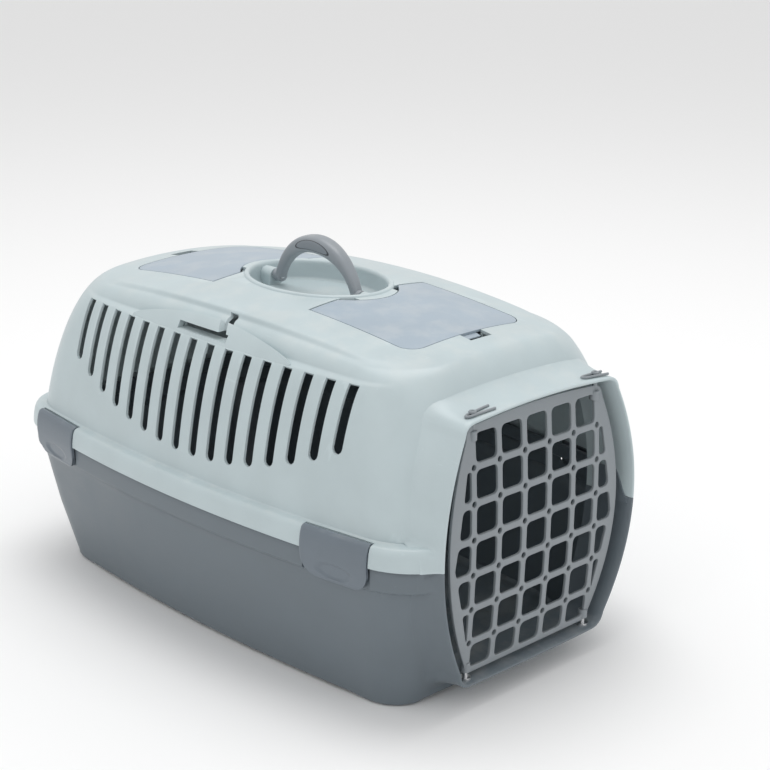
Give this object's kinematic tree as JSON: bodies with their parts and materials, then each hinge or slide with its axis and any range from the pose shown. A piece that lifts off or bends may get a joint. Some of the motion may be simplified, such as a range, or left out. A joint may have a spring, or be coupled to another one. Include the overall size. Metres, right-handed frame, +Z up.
{
  "type": "pet transport carrier",
  "caption": "Hard plastic carrier with a vented upper shell on a deep tub, barred swing door, side latches, storage lids and a folding top handle, for moving small animals.",
  "frame": {"origin": "on the floor under the middle of the carrier, at the centre of its outline seen from above", "axes": "+Z up, -Y towards the barred door, +X to the right of a person looking along +Y from in front of the door"},
  "size_m": [0.385, 0.61, 0.378],
  "materials": {
    "shell_dark": "satin moulded polypropylene, slate grey",
    "shell_light": "satin moulded polypropylene, pale sage grey",
    "grille_grey": "satin moulded plastic, mid grey",
    "latch_grey": "satin moulded plastic, slate grey",
    "lid_blue": "fine matt moulded plastic, blue grey",
    "handle_grey": "satin moulded plastic, mid grey",
    "pad_dark": "soft-touch inlay, matt",
    "pin_steel": "plain bright steel pin"
  },
  "bodies": {
    "base": {"bottom_shell": "shell_dark", "bottom_collar": "shell_dark", "door_pins": "pin_steel"},
    "upper_shell": {"top_shell": "shell_light", "top_collar": "shell_light", "handle_cup": "shell_light", "front_pan": "shell_light", "rear_pan": "shell_light", "latch_pins": "pin_steel", "lid_pins": "pin_steel", "handle_pins": "pin_steel"},
    "door": {"door": "grille_grey"},
    "lever_left": {"door_lever_left": "grille_grey"},
    "lever_right": {"door_lever_right": "grille_grey"},
    "latch_front_left": {"latch_front_left": "latch_grey"},
    "latch_rear_left": {"latch_rear_left": "latch_grey"},
    "latch_front_right": {"latch_front_right": "latch_grey"},
    "latch_rear_right": {"latch_rear_right": "latch_grey"},
    "front_lid": {"front_lid": "lid_blue"},
    "rear_lid": {"rear_lid": "lid_blue"},
    "handle": {"handle": "handle_grey", "handle_pad": "pad_dark"}
  },
  "joints": [
    {"name": "upper_shell_lift", "type": "slide", "parent": "base", "child": "upper_shell", "axis": [0, 0, 1], "range_m": [0, 0.25]},
    {"name": "door_swing", "type": "hinge", "parent": "base", "child": "door", "pos_m": [0.0835, -0.2885, 0.15], "axis": [0, 0, 1], "range_deg": [0, 110]},
    {"name": "lever_left_pull", "type": "slide", "parent": "upper_shell", "child": "lever_left", "axis": [0, 0, 1], "range_m": [0, 0.0085], "stiffness_N_per_m": 200},
    {"name": "lever_right_pull", "type": "slide", "parent": "upper_shell", "child": "lever_right", "axis": [0, 0, 1], "range_m": [0, 0.0085], "stiffness_N_per_m": 200},
    {"name": "front_lid_open", "type": "hinge", "parent": "upper_shell", "child": "front_lid", "pos_m": [0, -0.08, 0.3279], "axis": [-1, 0, 0], "range_deg": [0, 75]},
    {"name": "rear_lid_open", "type": "hinge", "parent": "upper_shell", "child": "rear_lid", "pos_m": [0, 0.08, 0.3279], "axis": [1, 0, 0], "range_deg": [0, 75]},
    {"name": "handle_fold", "type": "hinge", "parent": "upper_shell", "child": "handle", "pos_m": [0, 0, 0.327], "axis": [0, 1, 0], "range_deg": [-88, 88]},
    {"name": "latch_front_left_open", "type": "hinge", "parent": "upper_shell", "child": "latch_front_left", "pos_m": [-0.17191, -0.21261, 0.1704], "axis": [-0.1268, 0.9919, 0], "range_deg": [0, 95]},
    {"name": "latch_rear_left_open", "type": "hinge", "parent": "upper_shell", "child": "latch_rear_left", "pos_m": [-0.17191, 0.21261, 0.1704], "axis": [0.1268, 0.9919, 0], "range_deg": [0, 95]},
    {"name": "latch_front_right_open", "type": "hinge", "parent": "upper_shell", "child": "latch_front_right", "pos_m": [0.17191, -0.21261, 0.1704], "axis": [-0.1268, -0.9919, 0], "range_deg": [0, 95]},
    {"name": "latch_rear_right_open", "type": "hinge", "parent": "upper_shell", "child": "latch_rear_right", "pos_m": [0.17191, 0.21261, 0.1704], "axis": [0.1268, -0.9919, 0], "range_deg": [0, 95]}
  ]
}
